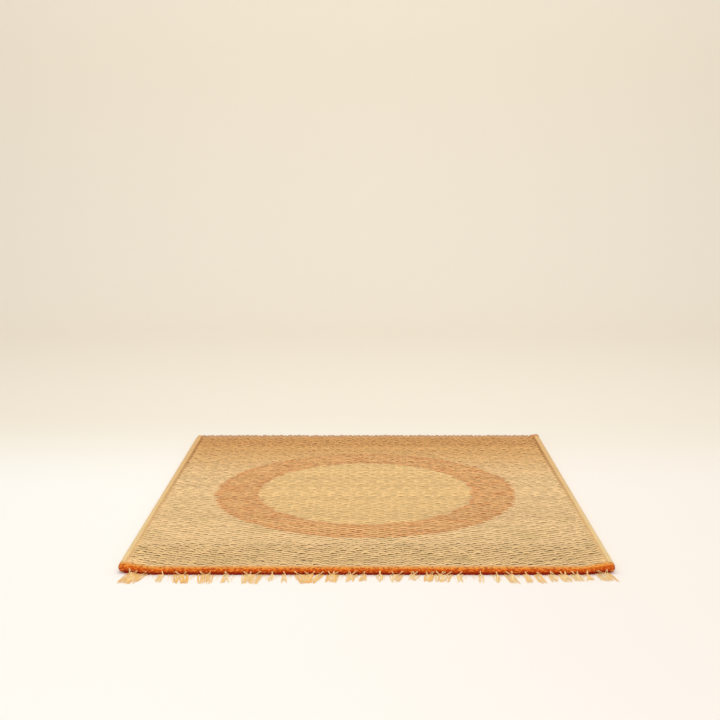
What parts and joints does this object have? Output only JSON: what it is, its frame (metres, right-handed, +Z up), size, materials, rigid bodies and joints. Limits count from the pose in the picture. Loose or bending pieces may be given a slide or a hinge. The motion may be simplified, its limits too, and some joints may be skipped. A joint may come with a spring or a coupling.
{
  "type": "outdoor rug",
  "caption": "Flat-woven straw-coloured outdoor rug with a darker ring, a rolled orange felt front edge, piped sides and a tufted front fringe.",
  "frame": {"origin": "on the floor, in the middle of the rug and its fringe", "axes": "+Z up, +X to the rug's right, and the fringe lies towards -Y"},
  "size_m": [1.1994, 1.447, 0.0238],
  "materials": {
    "straw_weave": "thick flat-woven straw-coloured yarn, matt",
    "orange_felt": "rolled orange wool felt, matt and slightly fuzzy",
    "pale_piping": "pale golden cloth piping, matt",
    "fringe_thread": "loose cream cotton thread, matt"
  },
  "bodies": {
    "root": {"field": "straw_weave", "front_binding": "orange_felt", "left_binding": "pale_piping", "right_binding": "pale_piping", "fringe": "fringe_thread"}
  },
  "joints": []
}
